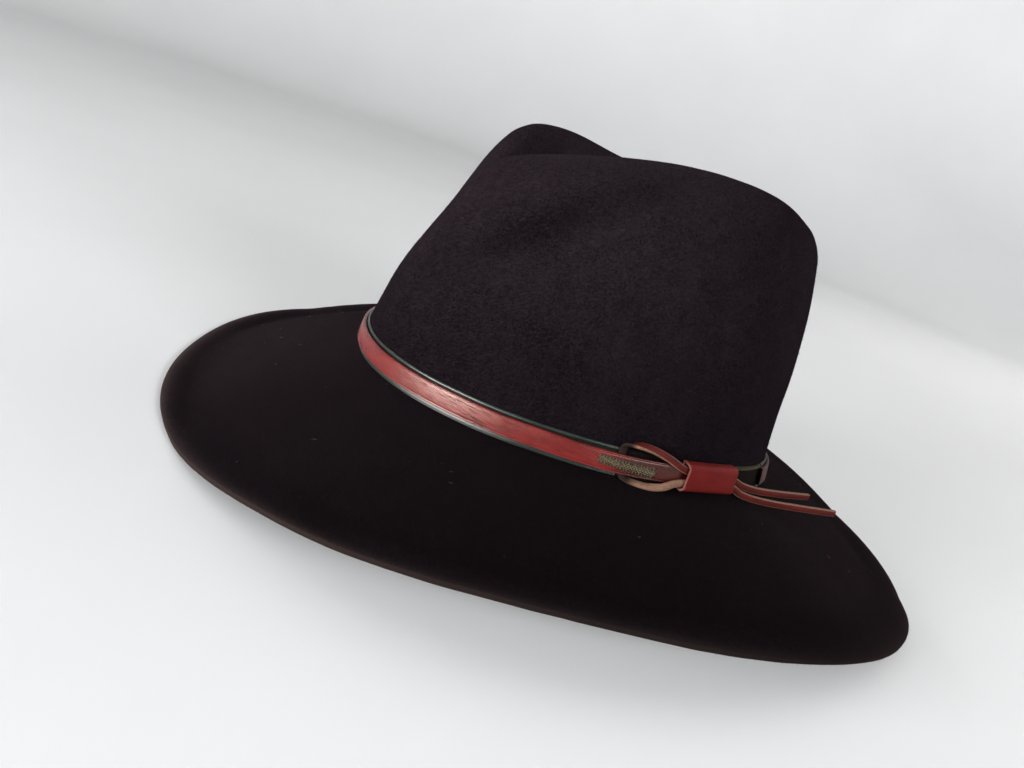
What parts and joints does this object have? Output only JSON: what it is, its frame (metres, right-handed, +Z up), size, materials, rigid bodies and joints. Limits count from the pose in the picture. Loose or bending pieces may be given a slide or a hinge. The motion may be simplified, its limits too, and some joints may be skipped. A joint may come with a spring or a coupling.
{
  "type": "outdoor hat",
  "caption": "Wide-brimmed felt hat with a dented crown and turned-up brim edge, with a leather strap round the crown, a leather keeper and a looped thong with hanging ends.",
  "frame": {"origin": "on the surface that the hat rests on, below the middle of its bounding box", "axes": "+Z up through the crown, -Y out over the front of the brim, +X to the wearer's left, where the keeper is"},
  "size_m": [0.3446, 0.3629, 0.156],
  "materials": {
    "felt": "matte black wool felt with a short nap",
    "band": "smooth dark green-black, satin",
    "strap": "red-brown, waxed, finely creased",
    "keeper": "red-brown with pale cut edges",
    "thong": "red-brown with a pale flesh side and cut edges"
  },
  "bodies": {
    "root": {"felt_body": "felt", "under_band": "band", "leather_strap": "strap", "keeper": "keeper", "thong": "thong"}
  },
  "joints": []
}
